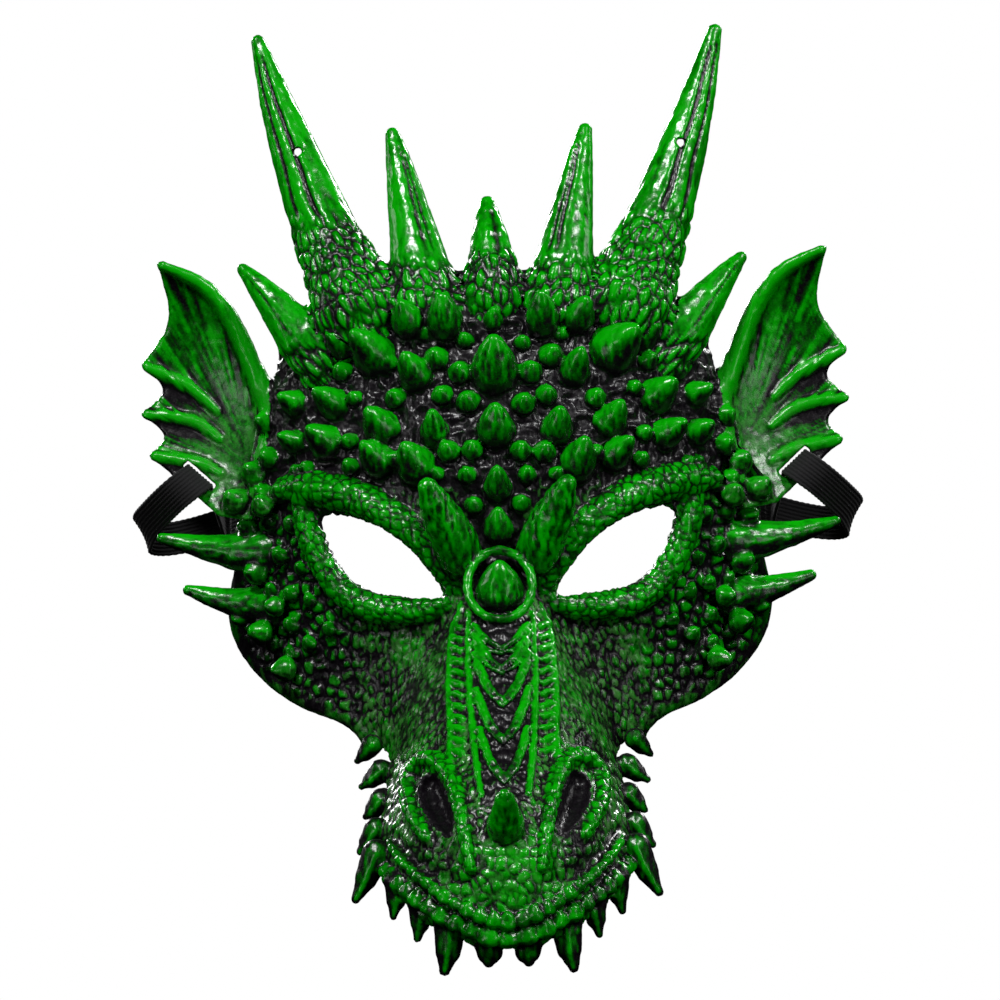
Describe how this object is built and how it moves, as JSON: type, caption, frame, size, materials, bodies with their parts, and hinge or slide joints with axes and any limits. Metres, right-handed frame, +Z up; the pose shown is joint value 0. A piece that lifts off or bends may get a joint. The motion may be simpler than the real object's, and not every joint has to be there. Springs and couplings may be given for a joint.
{
  "type": "dragon face mask",
  "caption": "Foam dragon face mask with horns, ears, snout and teeth, eye openings, strap slots and an elastic strap that holds it on the face.",
  "frame": {"origin": "on the midplane at the wearer's eye line, where the bridge of the nose meets the mask's inner face", "axes": "+Z up along the mask's height, -Y the way the mask and the wearer look, +X to the right of someone looking at the mask"},
  "size_m": [0.258, 0.2257, 0.3286],
  "materials": {
    "skin_foam": "black self-skinned foam, dry-brushed with glossy green paint",
    "horn_foam": "black foam with green paint brushed lengthways",
    "ear_foam": "black foam, thin, with green paint brushed along the ribs",
    "tooth_foam": "black foam with green edges",
    "elastic": "black ribbed knitted elastic",
    "thread": "black sewing thread"
  },
  "bodies": {
    "mask": {"brow_ring_left": "skin_foam", "brow_ring_right": "skin_foam", "brow_spike_left": "skin_foam", "brow_spike_right": "skin_foam", "centre_horn": "horn_foam", "cheek_spikes_left": "skin_foam", "cheek_spikes_right": "skin_foam", "ear_left": "ear_foam", "ear_right": "ear_foam", "face_shell": "skin_foam", "forehead_knobs": "skin_foam", "forehead_spikes": "skin_foam", "front_lip": "skin_foam", "mid_horn_left": "horn_foam", "mid_horn_right": "horn_foam", "nose_knob": "skin_foam", "nose_ridge": "skin_foam", "nose_spike": "skin_foam", "nostril_rim_left": "skin_foam", "nostril_rim_right": "skin_foam", "outer_horn_left": "horn_foam", "outer_horn_right": "horn_foam", "side_spike_left": "skin_foam", "side_spike_right": "skin_foam", "snout_shell": "skin_foam", "teeth_left": "tooth_foam", "teeth_right": "tooth_foam"},
    "strap": {"bar_tack_left": "thread", "bar_tack_right": "thread", "strap_band": "elastic", "strap_loop_left": "elastic", "strap_loop_right": "elastic"}
  },
  "joints": [
    {"name": "strap_swing", "type": "hinge", "parent": "mask", "child": "strap", "pos_m": [0, 0.0406, 0.0305], "axis": [1, 0, 0], "range_deg": [-12, 5]}
  ]
}
